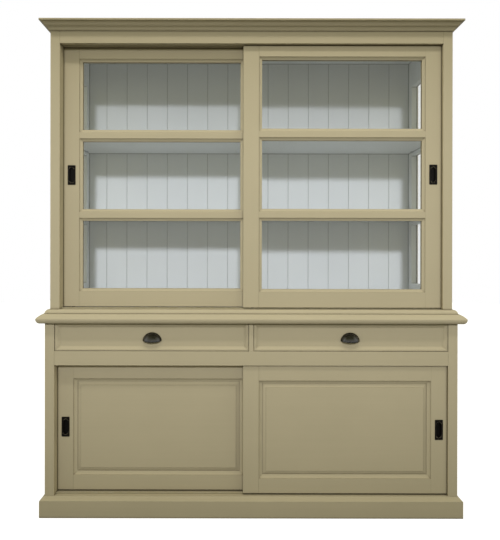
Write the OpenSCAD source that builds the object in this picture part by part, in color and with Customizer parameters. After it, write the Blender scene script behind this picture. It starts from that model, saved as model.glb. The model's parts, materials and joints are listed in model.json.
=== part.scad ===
// China cabinet: a glazed upper cabinet with two sliding doors, standing on a
// sideboard with two drawers and two sliding panelled doors.
// Millimetres. +Z is up, the front faces -Y, and the origin is on the floor
// under the middle of the whole object.

/* [Sideboard] */
// Width of the sideboard between its outer side faces
base_w = 1840; // [1500:10:2200]
// Depth of the sideboard from its face to its back
base_d = 450; // [400:5:560]
// Height of the plinth board below its moulding
plinth_h = 73; // [60:1:110]
// Height of the moulding on top of the plinth board
plinth_moulding_h = 18; // [14:1:24]
// How far the plinth stands proud of the sideboard
plinth_out = 18; // [14:1:24]
// Height of the opening for the lower sliding doors
base_door_open_h = 580; // [480:5:700]
// Height of the rail between the lower doors and the drawers
drawer_rail_h = 64; // [56:1:90]
// Height of the drawer opening
drawer_open_h = 125; // [110:1:180]
// Thickness of the worktop
worktop_t = 42; // [34:1:50]
// How far the worktop's nose reaches past the sideboard
worktop_out = 30; // [26:1:40]

/* [Upper cabinet] */
// How far the upper cabinet stands back from the sideboard's face and sides
upper_setback = 17; // [14:1:30]
// Thickness of the board that the upper cabinet stands on
upper_board_t = 17; // [15:1:24]
// Height of the opening for the glazed doors
upper_door_open_h = 1195; // [1000:5:1400]
// Height of the header above the glazed doors
header_h = 73; // [60:1:100]
// Thickness of the board that closes the top
top_t = 22; // [16:1:26]
// Height of the cornice
cornice_h = 40; // [32:1:48]
// How far the cornice reaches past the upper cabinet
cornice_out = 38; // [32:1:46]

/* [Timber] */
// Width of the corner posts, as seen from the front
post = 42; // [38:1:56]
// Depth of the rear post in the side frames
rear_stile = 54; // [48:1:80]
// Thickness of plain boards: shelves, bottom, partition, runners' deck
board = 18; // [15:1:22]
// Thickness of the thin back of the sideboard
thin_back_t = 8; // [6:1:12]
// Thickness of the grooved boards at the back of the upper cabinet
back_board_t = 12; // [10:1:16]
// Width of a back board from seam to seam
back_board_pitch = 108.6; // [80:0.2:140]
// How far left of the middle the middle seam is
back_seam_shift = 6; // [0:1:20]

/* [Doors] */
// Thickness of every sliding door
door_t = 24; // [22:1:28]
// Gap between a front door and the rear door behind it
door_gap = 6; // [5:0.5:10]
// Clearance between a closed door and its post
door_end_gap = 1; // [0.5:0.5:3]
// Clearance under a door
door_floor_gap = 6.5; // [6:0.5:9]
// Clearance between a door's top edge and the board above
door_top_gap = 3; // [2:0.5:5]
// Clearance between a rear door and what stands behind it
door_back_gap = 12; // [8:1:20]
// How far the shelves stand back from that
shelf_back_gap = 6; // [2:1:20]
// Width of a door's stiles, without their moulding
stile = 72; // [60:1:95]
// How far the front lower door stands back from the face
base_door_recess = 10; // [6:1:20]
// How far the front glazed door stands back from the face
upper_door_recess = 18; // [14:1:24]
// Height of the lower doors' rails, without their moulding
base_rail = 66; // [56:1:90]
// Width of the moulding round the lower doors' panels
base_moulding_w = 15; // [10:1:18]
// Depth of the moulding round the lower doors' panels
base_moulding_d = 11; // [8:0.5:12]
// Height of the glazed doors' bottom rail, without its moulding
glazed_bottom_rail = 70; // [60:1:100]
// Height of the glazed doors' top rail, without its moulding
glazed_top_rail = 48; // [40:1:70]
// Height of the rails between the panes, without their mouldings
glazing_rail = 28; // [22:1:50]
// Width of the moulding round the glass
glass_moulding_w = 13; // [8:1:16]
// Depth of the moulding round the glass
glass_moulding_d = 9; // [7:0.5:10]
// Thickness of the glass
glass_t = 4; // [3:0.5:5]

/* [Drawers] */
// Width of the divider between the drawers
divider_w = 20; // [18:1:40]
// Gap round a drawer front
drawer_gap = 2; // [1.5:0.5:4]
// Thickness of a drawer front
drawer_front_t = 22; // [20:1:26]
// Width of the moulded border on a drawer front
drawer_border_w = 21; // [16:1:26]
// How deep the middle of a drawer front lies
drawer_border_d = 11; // [8:0.5:12]
// Thickness of a drawer's sides and back
drawer_side_t = 14; // [12:1:18]
// Thickness of a drawer's bottom
drawer_bottom_t = 6; // [4:1:9]
// Space between a closed drawer and the back of the sideboard
drawer_back_gap = 27; // [10:1:80]
// Height of the air above a drawer's sides
drawer_air = 10; // [6:1:20]
// Height of a drawer's sides below its bottom board
drawer_bottom_up = 8; // [6:1:14]

/* [Fittings] */
// Width of a cup pull
cup_w = 86; // [70:1:110]
// Height of a cup pull
cup_h = 40; // [32:1:48]
// How far a cup pull stands out
cup_out = 26; // [22:1:30]
// Wall of a cup pull
cup_wall = 2; // [1.5:0.5:3]
// Width of a flush pull's plate
flush_w = 36; // [32:1:44]
// Height of a flush pull's plate
flush_h = 90; // [80:1:120]
// Thickness of a flush pull's plate
flush_t = 1.5; // [1:0.5:2]
// Width of a flush pull's finger well
well_w = 20; // [16:1:24]
// Height of a flush pull's finger well
well_h = 68; // [50:1:76]
// Depth of a flush pull's finger well
well_d = 11; // [8:0.5:13]
// Radius of a door wheel at its rims
wheel_r = 13; // [12:0.5:15]
// Depth of the groove in a door wheel
wheel_groove_d = 2; // [1.5:0.5:3]
// Width of a door wheel
wheel_w = 8; // [7:0.5:9]
// Radius of a door wheel's axle ends
axle_r = 2.5; // [2:0.25:3]
// Distance of a wheel from the end of its door
wheel_inset = 42; // [34:1:80]
// Height of the rails that the wheels run on
track_h = 4.5; // [3.5:0.5:5]
// Width of the rails that the wheels run on
track_w = 3; // [2:0.5:4]
// Radius of a shelf pin
pin_r = 2.5; // [2:0.5:4]
// Length of a shelf pin
pin_l = 24; // [20:1:32]
// Distance of the shelf pins from the front and back of the shelves
pin_in = 30; // [20:1:80]
// Radius of the screws that join the two cabinets
screw_r = 3; // [2.5:0.5:4]
// Distance of those screws from the upper cabinet's sides and back
screw_in = 60; // [50:1:150]
// Distance of the front screws from the upper cabinet's face
screw_front_in = 120; // [100:1:180]

/* [Hidden] */
// Clearance of a sliding or loose fit
slip = 0.3;
// Radial clearance of an axle or a pin in its bore
bore_slip = 0.08;
// How far a cutter runs past the surface that it cuts
over = 1;
// Steps along a curved profile
curve_steps = 6;

paint_colour = [0.64, 0.59, 0.47];
white_colour = [0.86, 0.88, 0.87];
wood_colour = [0.78, 0.68, 0.52];
glass_colour = [0.80, 0.90, 0.90, 0.35];
dark_colour = [0.11, 0.09, 0.09];
brass_colour = [0.72, 0.60, 0.34];
nylon_colour = [0.85, 0.84, 0.80];
steel_colour = [0.70, 0.71, 0.73];

// Places in depth
back_y = (base_d + worktop_out) / 2;
base_face = back_y - base_d;
upper_face = base_face + upper_setback;
base_half = base_w / 2;
upper_half = base_half - upper_setback;
base_in = base_half - post;
upper_in = upper_half - post;
rear_post_y = back_y - rear_stile;

// Heights
floor_z = plinth_h + plinth_moulding_h;
drawer_rail_z = floor_z + base_door_open_h;
drawer_z = drawer_rail_z + drawer_rail_h;
worktop_z = drawer_z + drawer_open_h;
upper_board_z = worktop_z + worktop_t;
upper_floor_z = upper_board_z + upper_board_t;
header_z = upper_floor_z + upper_door_open_h;
top_z = header_z + header_h;
total_h = top_z + top_t;

// Doors: the front door of each pair is the right one
base_front_y = base_face + base_door_recess;
upper_front_y = upper_face + upper_door_recess;
door_pitch = door_t + door_gap;
base_door_w = base_in - door_end_gap + stile / 2;
upper_door_w = upper_in - door_end_gap + stile / 2;
base_door_h = base_door_open_h - door_floor_gap - door_top_gap;
upper_door_h = upper_door_open_h - door_floor_gap - door_top_gap;
tongue_w = 8;
tongue_h = 11;
guide_groove_w = tongue_w + 1.5;
guide_groove_d = tongue_h + door_top_gap;
guide_t = guide_groove_d + 6;
drawer_rail_t = base_door_recess + (door_t - guide_groove_w) / 2 - 1.25;
header_t = upper_door_recess;
// Distance from the front door's face to the back of the guide board
guide_back = door_pitch + door_t + door_back_gap;

// Openings in the doors and in the side frames, from sight line to sight line
base_stile_in = stile + base_moulding_w;
base_rail_in = base_rail + base_moulding_w;
glazed_stile_in = stile + glass_moulding_w;
glazed_low = upper_floor_z + door_floor_gap + glazed_bottom_rail + glass_moulding_w;
glazed_high = upper_floor_z + door_floor_gap + upper_door_h - glazed_top_rail - glass_moulding_w;
cross_rail = glazing_rail + 2 * glass_moulding_w;
pane_h = (glazed_high - glazed_low - 2 * cross_rail) / 3;
pane_z = [for (i = [0:2]) glazed_low + i * (pane_h + cross_rail)];
shelf_z = [for (i = [1:2]) pane_z[i] - (cross_rail + board) / 2];

// The seat of a pane or a panel in its frame
groove_in = 7;
glass_lip = 2;
panel_lip = 1.5;
panel_tongue_t = 6;
panel_bevel_w = 17;
panel_bevel_d = 5.5;
panel_step = 2;

// Depth of the parts of a lower cupboard's panel below the frame's face
panel_front = base_moulding_d + panel_lip;
base_shelf_z = floor_z + base_door_open_h / 2;
deck_z = drawer_rail_z + guide_t;
cleat_h = 20;
cleat_in = 12;
partition_y = base_front_y + guide_back;

// Drawers and what they run on
drawer_face = base_face + 1;
drawer_front_back = drawer_face + drawer_front_t;
drawer_front_h = drawer_open_h - 2 * drawer_gap;
bay_w = base_in - divider_w / 2;
drawer_front_w = bay_w - 2 * drawer_gap;
drawer_mid = divider_w / 2 + bay_w / 2;
runner_w = 36;
runner_lip_w = 10;
runner_lip_h = 12;
drawer_side_z = drawer_z + 2 * drawer_gap;
drawer_side_h = drawer_open_h - 4 * drawer_gap - drawer_air;
drawer_l = back_y - thin_back_t - drawer_back_gap - drawer_front_back;
drawer_side_out = bay_w / 2 - runner_lip_w - 1.5;
drawer_bottom_z = drawer_side_z + drawer_bottom_up;
drawer_bottom_in = 6;
runner_front_y = drawer_front_back + 7;

// Wheels and tracks
tread_r = wheel_r - wheel_groove_d;
axle_up = track_h + slip + tread_r;
axle_l = 5;
wheel_slot = wheel_w + 1.6;
wheel_slot_l = 2 * wheel_r + 4;

shelf_front_y = upper_front_y + guide_back + shelf_back_gap;
pin_ys = [shelf_front_y + pin_in, back_y - back_board_t - 2 * pin_in];
screw_l = upper_board_t + worktop_t - 8;
screw_head_r = 2 * screw_r;
screw_head_h = screw_r;

// Profiles are lists of [out, up] points

// A curve from p to q whose middle stands off the straight line by bow
function bowed(p, q, bow) =
    let (d = q - p, n = [-d[1], d[0]] / norm(d))
    [for (i = [0:curve_steps]) let (t = i / curve_steps) p + d * t + n * (4 * bow * t * (1 - t))];

// The plinth's section: a plain board under a hollow and a round
function plinth_profile() = concat(
    [[0, 0], [plinth_out, 0]],
    bowed([plinth_out, plinth_h], [0.55 * plinth_out, floor_z - 0.58 * plinth_moulding_h], -1.2),
    bowed([0.48 * plinth_out, floor_z - 0.53 * plinth_moulding_h], [0, floor_z], 1.2)
);

// The worktop's nose, from its underside to its top face
function worktop_profile() = concat(
    [for (i = [0:curve_steps]) let (a = 90 * i / curve_steps)
        [worktop_out / 2 * (1 + sin(a)), worktop_z + worktop_t / 2 * (1 - cos(a))]],
    bowed([worktop_out - 0.5, worktop_z + worktop_t / 2 + 2], [6, upper_board_z - 0.5], -2),
    [[6, upper_board_z]]
);

// The edge of the board under the upper cabinet
function upper_board_profile() = concat(
    [[upper_setback + 2, upper_board_z], [upper_setback + 2, upper_board_z + 2.5]],
    bowed([upper_setback + 1, upper_board_z + 3], [0.55 * upper_setback, upper_floor_z], -1.8)
);

// The cornice's section: bead, hollow, fillet, hollow and top band
function cornice_profile() =
    let (z = total_h - cornice_h, w = cornice_out, h = cornice_h)
    concat(
        [[0, z], [0.12 * w, z], [0.12 * w, z + 0.08 * h]],
        bowed([0.15 * w, z + 0.08 * h], [0.38 * w, z + 0.39 * h], 1.3),
        [[0.47 * w, z + 0.39 * h], [0.47 * w, z + 0.47 * h]],
        bowed([0.5 * w, z + 0.47 * h], [0.8 * w, z + 0.78 * h], 1.6),
        [[0.94 * w, z + 0.78 * h], [0.97 * w, z + 0.81 * h], [w, z + 0.81 * h],
         [w, total_h], [0, total_h]]
    );

// A moulding cut into an edge: [grow, depth] from the face to the sight line, a
// fillet and then a hollow
function moulding_steps(w, d) = concat(
    [[w, over], [w, -2], [w - 1, -2]],
    [for (i = [0:curve_steps]) let (a = 15 + 60 * i / curve_steps)
        [(w - 1) * (cos(a) - cos(75)) / (cos(15) - cos(75)),
         -2 - (d - 2) * (sin(a) - sin(15)) / (sin(75) - sin(15))]]
);

// The S-shaped border of a drawer front
function drawer_border_steps() = concat(
    [[drawer_border_w - 3, over], [drawer_border_w - 3, -1]],
    [for (i = [0:curve_steps]) let (t = i / curve_steps)
        [(drawer_border_w - 4) * (1 - t),
         -1 - (drawer_border_d - 1) * (1 - cos(180 * t)) / 2]]
);

// A solid whose level sections are rectangles: rings of [x0, y0, x1, y1, z]
module lofted(rings) {
    n = len(rings);
    points = [for (r = rings) each [[r[0], r[1], r[4]], [r[2], r[1], r[4]],
                                    [r[2], r[3], r[4]], [r[0], r[3], r[4]]]];
    walls = [for (i = [0:n - 2], k = [0:3]) let (m = (k + 1) % 4)
        [4 * i + k, 4 * (i + 1) + k, 4 * (i + 1) + m, 4 * i + m]];
    polyhedron(points, concat(
        [[0, 1, 2, 3]],
        [[4 * n - 1, 4 * n - 2, 4 * n - 3, 4 * n - 4]],
        walls));
}

// Cuts an opening with a moulding that follows steps of [grow, height]
module moulded_cutter(x0, y0, x1, y1, steps) {
    rings = [for (s = steps) [x0 - s[0], y0 - s[0], x1 + s[0], y1 + s[0], s[1]]];
    lofted([for (i = [len(rings) - 1:-1:0]) rings[i]]);
}

// A board whose front and side edges follow a profile
module edged_slab(profile, half_w, face_y) {
    lofted([for (p = profile) [-half_w - p[0], face_y - p[0], half_w + p[0], back_y, p[1]]]);
}

// Takes away what lies past the mitre of a right-hand corner: outside it, or inside
module mitre_cutter(half_w, face_y, outside) {
    reach = 4 * cornice_out;
    translate([half_w, face_y, -over]) rotate([0, 0, 45])
        translate([outside ? 0 : -reach, -reach, 0]) cube([reach, 2 * reach, total_h + 2 * over]);
}

// A moulding along the front, mitred at both ends
module front_run(profile, half_w, face_y) {
    reach = half_w + 2 * cornice_out;
    difference() {
        translate([-reach, face_y, 0]) rotate([90, 0, 90]) linear_extrude(height = 2 * reach)
            polygon([for (p = profile) [-p[0], p[1]]]);
        both_sides() mitre_cutter(half_w, face_y, true);
    }
}

// The same moulding along the right side, mitred at the front
module side_run(profile, half_w, face_y) {
    difference() {
        translate([half_w, back_y, 0]) rotate([90, 0, 0])
            linear_extrude(height = back_y - face_y + 2 * cornice_out) polygon(profile);
        mitre_cutter(half_w, face_y, false);
    }
}

// A piece and its mirror image on the other side
module both_sides() {
    children();
    mirror([1, 0, 0]) children();
}

// Stands a flat piece up facing the front: its x, y and height become x, z and -y
module facing_front(x, face_y, z) {
    translate([x, face_y, z]) rotate([90, 0, 0]) children();
}

// Stands a flat piece up facing right: its x, y and height become y, z and x
module facing_right(face_x) {
    translate([face_x, 0, 0]) rotate([90, 0, 90]) children();
}

// A plate with round corners, lying on z = 0
module rounded_plate(w, h, t, r) {
    linear_extrude(height = t) union() {
        square([w - 2 * r, h], center = true);
        square([w, h - 2 * r], center = true);
        for (sx = [-1, 1], sy = [-1, 1])
            translate([sx * (w / 2 - r), sy * (h / 2 - r)]) circle(r, $fn = 48);
    }
}

// A slot with round ends, as wide as w and as high as h
module slot_shape(w, h) {
    union() {
        square([w, h - w], center = true);
        for (s = [-1, 1]) translate([0, s * (h - w) / 2]) circle(w / 2, $fn = 64);
    }
}

// A moulded frame, face up at z = 0, with its openings [x0, y0, x1, y1]
module moulded_frame(x0, y0, x1, y1, t, openings, steps, seat_depth, seat_t) {
    difference() {
        translate([x0, y0, -t]) cube([x1 - x0, y1 - y0, t]);
        for (o = openings) {
            moulded_cutter(o[0], o[1], o[2], o[3], concat(steps, [[0, -t - over]]));
            translate([o[0] - groove_in, o[1] - groove_in, -seat_depth - seat_t])
                cube([o[2] - o[0] + 2 * groove_in, o[3] - o[1] + 2 * groove_in, seat_t]);
        }
    }
}

// A glass pane seated in the groove round an opening
module pane(o) {
    reach = groove_in - 1;
    translate([o[0] - reach, o[1] - reach, -glass_moulding_d - glass_lip - slip - glass_t])
        cube([o[2] - o[0] + 2 * reach, o[3] - o[1] + 2 * reach, glass_t]);
}

// A raised panel seated in the groove round an opening
module raised_panel(o) {
    reach = groove_in - 1;
    back = -panel_front - slip / 2 - panel_tongue_t;
    front = back + panel_tongue_t;
    field = front + panel_bevel_d;
    in = panel_bevel_w;
    lofted([
        [o[0] - reach, o[1] - reach, o[2] + reach, o[3] + reach, back],
        [o[0] - reach, o[1] - reach, o[2] + reach, o[3] + reach, front],
        [o[0] + 0.5, o[1] + 0.5, o[2] - 0.5, o[3] - 0.5, front],
        [o[0] + in, o[1] + in, o[2] - in, o[3] - in, field],
        [o[0] + in, o[1] + in, o[2] - in, o[3] - in, field + panel_step]
    ]);
}

// Openings of the three panes between x0 and x1, with heights above z
function pane_openings(x0, x1, z) = [for (p = pane_z) [x0, p - z, x1, p - z + pane_h]];

// Sideboard carcass

module plinth_front() {
    color(paint_colour) front_run(plinth_profile(), base_half, base_face);
}

module plinth_returns() {
    color(paint_colour) both_sides() side_run(plinth_profile(), base_half, base_face);
}

// The opening in the sideboard's side, in depth and height
base_side_opening = [base_face + base_stile_in, floor_z + base_rail_in,
                     rear_post_y, worktop_z - base_rail_in];

module base_right_frame() {
    color(paint_colour) facing_right(base_half)
        moulded_frame(base_face, 0, back_y, worktop_z, post, [base_side_opening],
            moulding_steps(base_moulding_w, base_moulding_d),
            panel_front, panel_tongue_t + slip);
}

module base_left_frame() {
    mirror([1, 0, 0]) base_right_frame();
}

module base_side_panels() {
    color(paint_colour) both_sides() facing_right(base_half) raised_panel(base_side_opening);
}

module base_bottom() {
    color(wood_colour) translate([-base_in, base_face, floor_z - board])
        cube([2 * base_in, base_d - thin_back_t, board]);
}

module base_back() {
    color(wood_colour) translate([-base_in, back_y - thin_back_t, floor_z - board])
        cube([2 * base_in, thin_back_t, worktop_z - floor_z + board]);
}

module base_partition() {
    color(wood_colour) translate([-board / 2, partition_y, floor_z])
        cube([board, back_y - thin_back_t - partition_y, deck_z - floor_z]);
}

module base_shelves() {
    shelf_y = partition_y + shelf_back_gap;
    color(wood_colour) both_sides() translate([board / 2 + slip, shelf_y, base_shelf_z])
        cube([base_in - board / 2 - 2 * slip, back_y - thin_back_t - slip - shelf_y, board]);
}

module base_shelf_cleats() {
    cleat_l = back_y - thin_back_t - slip - partition_y - 10;
    color(wood_colour) both_sides() for (x = [board / 2, base_in - cleat_in])
        translate([x, partition_y + 10, base_shelf_z - cleat_h]) cube([cleat_in, cleat_l, cleat_h]);
}

module drawer_rail() {
    color(paint_colour) translate([-base_in, base_face, drawer_rail_z])
        cube([2 * base_in, drawer_rail_t, drawer_rail_h]);
}

// The divider's front edge stands on the rail, and the rest on the deck
module drawer_divider() {
    rail_back = base_face + drawer_rail_t;
    back_end = back_y - thin_back_t;
    color(paint_colour) union() {
        translate([-divider_w / 2, base_face, drawer_z])
            cube([divider_w, back_end - base_face, drawer_open_h]);
        translate([-divider_w / 2, rail_back, deck_z + board])
            cube([divider_w, back_end - rail_back, drawer_z - deck_z - board + over]);
    }
}

module drawer_deck() {
    rail_back = base_face + drawer_rail_t;
    color(wood_colour) translate([-base_in, rail_back, deck_z])
        cube([2 * base_in, back_y - thin_back_t - rail_back, board]);
}

// One runner, x outward from the drawer's middle towards its wall
module runner(wall) {
    runner_z = deck_z + board;
    runner_l = back_y - thin_back_t - slip - runner_front_y;
    translate([wall - runner_w, runner_front_y, runner_z]) union() {
        cube([runner_w, runner_l, drawer_side_z - slip - runner_z]);
        translate([runner_w - runner_lip_w, 0, 0])
            cube([runner_lip_w, runner_l, drawer_side_z + runner_lip_h - runner_z]);
    }
}

module drawer_runners() {
    color(wood_colour) both_sides() translate([drawer_mid, 0, 0]) both_sides() runner(bay_w / 2);
}

// A board with a groove for the tongue of each door
module door_guide(half_w, face_y, front_y, z) {
    difference() {
        translate([-half_w, front_y, z]) cube([2 * half_w, face_y + guide_back - front_y, guide_t]);
        for (i = [0:1])
            translate([-half_w - over,
                       face_y + i * door_pitch + (door_t - guide_groove_w) / 2, z - over])
                cube([2 * half_w + 2 * over, guide_groove_w, guide_groove_d + over]);
    }
}

module base_door_guide() {
    color(wood_colour)
        door_guide(base_in, base_front_y, base_face + drawer_rail_t, drawer_rail_z);
}

// Two thin rails that the wheels of the two doors run on
module door_tracks(half_w, face_y, z) {
    for (i = [0:1])
        translate([-half_w, face_y + i * door_pitch + (door_t - track_w) / 2, z])
            cube([2 * half_w, track_w, track_h]);
}

module base_door_tracks() {
    color(brass_colour) door_tracks(base_in, base_front_y, floor_z);
}

// Places of the screws that hold the upper cabinet on the worktop
screw_places = [for (sx = [-1, 1], y = [upper_face + screw_front_in, back_y - screw_in])
    [sx * (upper_in - screw_in), y]];

module screw_holes(r) {
    for (p = screw_places) translate([p[0], p[1], upper_floor_z - screw_l - slip])
        cylinder(h = screw_l + slip + over, r = r, $fn = 32);
}

module worktop() {
    color(paint_colour) difference() {
        edged_slab(worktop_profile(), base_half, base_face);
        screw_holes(screw_r + bore_slip);
    }
}

// Upper cabinet

module upper_base_board() {
    color(paint_colour) difference() {
        edged_slab(upper_board_profile(), upper_half, upper_face);
        screw_holes(screw_r + bore_slip);
        for (p = screw_places) translate([p[0], p[1], upper_floor_z - screw_head_h - slip])
            cylinder(h = screw_head_h + slip + over, r = screw_head_r + slip, $fn = 48);
    }
}

module joining_screws() {
    color(steel_colour) for (p = screw_places) translate([p[0], p[1], upper_floor_z]) union() {
        translate([0, 0, -screw_l]) cylinder(h = screw_l - 1, r = screw_r, $fn = 32);
        translate([0, 0, -screw_head_h]) cylinder(h = screw_head_h - 0.2, r = screw_head_r, $fn = 48);
    }
}

// The panes in the side, in depth and height
side_pane_openings = pane_openings(upper_face + glazed_stile_in, rear_post_y, 0);

// Places of the pins under the upper shelves, in depth and height
shelf_pin_places = [for (z = shelf_z, y = pin_ys) [y, z - pin_r]];

module upper_right_frame() {
    color(paint_colour) difference() {
        facing_right(upper_half)
            moulded_frame(upper_face, upper_floor_z, back_y, top_z, post, side_pane_openings,
                moulding_steps(glass_moulding_w, glass_moulding_d),
                glass_moulding_d + glass_lip, glass_t + 2 * slip);
        for (p = shelf_pin_places) translate([upper_in - over, p[0], p[1]]) rotate([0, 90, 0])
            cylinder(h = pin_l / 2 + 0.5 + over, r = pin_r + bore_slip, $fn = 32);
    }
}

module upper_left_frame() {
    mirror([1, 0, 0]) upper_right_frame();
}

module side_glass() {
    color(glass_colour) both_sides() facing_right(upper_half)
        for (o = side_pane_openings) pane(o);
}

module upper_header() {
    color(paint_colour) translate([-upper_in, upper_face, header_z])
        cube([2 * upper_in, header_t, header_h]);
}

module upper_door_guide() {
    color(paint_colour) door_guide(upper_in, upper_front_y, upper_face + header_t, header_z);
}

module upper_door_tracks() {
    color(brass_colour) door_tracks(upper_in, upper_front_y, upper_floor_z);
}

module upper_top_board() {
    color(white_colour) translate([-upper_half, upper_face, top_z])
        cube([2 * upper_half, back_y - upper_face, top_t]);
}

module cornice_front() {
    color(paint_colour) front_run(cornice_profile(), upper_half, upper_face);
}

module cornice_returns() {
    color(paint_colour) both_sides() side_run(cornice_profile(), upper_half, upper_face);
}

// Upright boards with a tongue on the right and a groove on the left, the end
// ones cut to fit
narrowest_board = 30;
function seam_x(k) = k * back_board_pitch - back_seam_shift;
first_seam = ceil((back_seam_shift + narrowest_board - upper_in) / back_board_pitch);
last_seam = floor((back_seam_shift - narrowest_board + upper_in) / back_board_pitch);
board_edges = concat([-upper_in], [for (k = [first_seam:last_seam]) seam_x(k)], [upper_in]);
board_count = len(board_edges) - 1;
board_gap = 0.3;
board_chamfer = back_board_t / 6;
board_tongue_t = back_board_t / 3;
board_tongue_l = back_board_t / 2.4;

module back_board(span, first, last) {
    w = span - board_gap;
    front = -back_board_t;
    tongue_front = -(back_board_t + board_tongue_t) / 2;
    linear_extrude(height = top_z - upper_floor_z) difference() {
        union() {
            polygon([[0, 0], [w, 0], [w, front + board_chamfer], [w - board_chamfer, front],
                     [board_chamfer, front], [0, front + board_chamfer]]);
            if (!last) translate([w - over, tongue_front])
                square([board_tongue_l + over, board_tongue_t]);
        }
        if (!first) translate([-over, tongue_front - slip])
            square([board_tongue_l - board_gap + slip + over, board_tongue_t + 2 * slip]);
    }
}

module upper_back_boards() {
    color(white_colour) for (i = [0:board_count - 1])
        translate([board_edges[i], back_y, upper_floor_z])
            back_board(board_edges[i + 1] - board_edges[i], i == 0, i == board_count - 1);
}

module upper_shelf(z) {
    color(white_colour) translate([-upper_in + slip, shelf_front_y, z])
        cube([2 * (upper_in - slip), back_y - back_board_t - slip - shelf_front_y, board]);
}

module shelf_pins() {
    color(steel_colour) both_sides() for (p = shelf_pin_places)
        translate([upper_in - pin_l / 2, p[0], p[1]]) rotate([0, 90, 0])
            cylinder(h = pin_l, r = pin_r, $fn = 32);
}

// Doors. Each is drawn facing front with its lower left corner at the origin

function wheel_xs(w) = [wheel_inset, w - wheel_inset];

// Distance of the axle above the door's bottom edge
axle_in_door = axle_up - door_floor_gap;

module door_cuts(w, pull_x, pull_y) {
    for (x = wheel_xs(w)) {
        translate([x - wheel_slot_l / 2, -over, -(door_t + wheel_slot) / 2])
            cube([wheel_slot_l, axle_in_door + wheel_r + 2 + over, wheel_slot]);
        translate([x, axle_in_door, -door_t / 2 - wheel_w / 2 - axle_l - 0.5])
            cylinder(h = wheel_w + 2 * axle_l + 1, r = axle_r + bore_slip, $fn = 32);
    }
    translate([pull_x, pull_y, -well_d - 1.5 - 0.5]) linear_extrude(height = well_d + 3 + over)
        slot_shape(well_w + 2 * 1.5 + 0.4, well_h + 2 * 1.5 + 0.4);
}

// The tongue along the top edge that runs in the guide board
module door_tongue(w, h) {
    translate([0, h - over, -(door_t + tongue_w) / 2]) cube([w, tongue_h + over, tongue_w]);
}

module glazed_door_frame(pull_x) {
    openings = pane_openings(glazed_stile_in, upper_door_w - glazed_stile_in,
                             upper_floor_z + door_floor_gap);
    color(paint_colour) difference() {
        union() {
            moulded_frame(0, 0, upper_door_w, upper_door_h, door_t, openings,
                moulding_steps(glass_moulding_w, glass_moulding_d),
                glass_moulding_d + glass_lip, glass_t + 2 * slip);
            door_tongue(upper_door_w, upper_door_h);
        }
        door_cuts(upper_door_w, pull_x, upper_pull_y);
    }
}

module glazed_door_glass() {
    openings = pane_openings(glazed_stile_in, upper_door_w - glazed_stile_in,
                             upper_floor_z + door_floor_gap);
    color(glass_colour) for (o = openings) pane(o);
}

base_door_opening = [base_stile_in, base_rail_in,
                     base_door_w - base_stile_in, base_door_h - base_rail_in];

module panelled_door_frame(pull_x) {
    color(paint_colour) difference() {
        union() {
            moulded_frame(0, 0, base_door_w, base_door_h, door_t, [base_door_opening],
                moulding_steps(base_moulding_w, base_moulding_d),
                panel_front, panel_tongue_t + slip);
            door_tongue(base_door_w, base_door_h);
        }
        door_cuts(base_door_w, pull_x, base_door_h / 2);
    }
}

module panelled_door_panel() {
    color(paint_colour) raised_panel(base_door_opening);
}

// A dark plate with a deep finger well
module flush_pull() {
    color(dark_colour) difference() {
        union() {
            rounded_plate(flush_w, flush_h, flush_t, 3);
            translate([0, 0, -well_d - 1.5]) linear_extrude(height = well_d + 1.5 + flush_t / 2)
                slot_shape(well_w + 2 * 1.5, well_h + 2 * 1.5);
        }
        translate([0, 0, -well_d]) linear_extrude(height = well_d + flush_t + over)
            slot_shape(well_w, well_h);
    }
}

// A grooved wheel with its axle ends, turning about the depth axis
module door_wheel() {
    flange_t = (wheel_w - track_w - 0.8) / 2;
    color(nylon_colour) rotate([90, 0, 0]) union() {
        cylinder(h = wheel_w, r = tread_r, center = true, $fn = 64);
        for (s = [-1, 1]) translate([0, 0, s * (wheel_w - flange_t) / 2])
            cylinder(h = flange_t, r = wheel_r, center = true, $fn = 64);
        cylinder(h = wheel_w + 2 * axle_l, r = axle_r, center = true, $fn = 32);
    }
}

// The middle of the pull lies at the middle of the middle pane
upper_pull_y = pane_z[1] + pane_h / 2 - upper_floor_z - door_floor_gap;

// Lower left corners of the doors: [x, face, z]
upper_door_z = upper_floor_z + door_floor_gap;
base_door_z = floor_z + door_floor_gap;
upper_left_at = [-upper_in + door_end_gap, upper_front_y + door_pitch, upper_door_z];
upper_right_at = [upper_in - door_end_gap - upper_door_w, upper_front_y, upper_door_z];
base_left_at = [-base_in + door_end_gap, base_front_y + door_pitch, base_door_z];
base_right_at = [base_in - door_end_gap - base_door_w, base_front_y, base_door_z];

module at_door(at) {
    facing_front(at[0], at[1], at[2]) children();
}

module wheel_at(at, x) {
    translate([at[0] + x, at[1] + door_t / 2, at[2] + axle_in_door]) door_wheel();
}

// Drawers, drawn round x = 0 and moved to their bays

module drawer_front() {
    w = drawer_front_w;
    h = drawer_front_h;
    in = drawer_border_w;
    color(paint_colour) facing_front(-w / 2, drawer_face, drawer_z + drawer_gap) difference() {
        translate([0, 0, -drawer_front_t]) cube([w, h, drawer_front_t]);
        moulded_cutter(in, in, w - in, h - in, drawer_border_steps());
    }
}

module drawer_box() {
    inner = drawer_side_out - drawer_side_t;
    back_front = drawer_front_back + drawer_l - drawer_side_t;
    color(wood_colour) difference() {
        union() {
            both_sides() translate([inner, drawer_front_back, drawer_side_z])
                cube([drawer_side_t, drawer_l, drawer_side_h]);
            translate([-drawer_side_out, back_front, drawer_side_z])
                cube([2 * drawer_side_out, drawer_side_t, drawer_side_h]);
        }
        translate([-inner - drawer_bottom_in - slip, drawer_front_back - over, drawer_bottom_z - slip / 2])
            cube([2 * (inner + drawer_bottom_in + slip),
                  back_front - drawer_front_back + drawer_bottom_in + slip + over,
                  drawer_bottom_t + slip]);
    }
}

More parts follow.
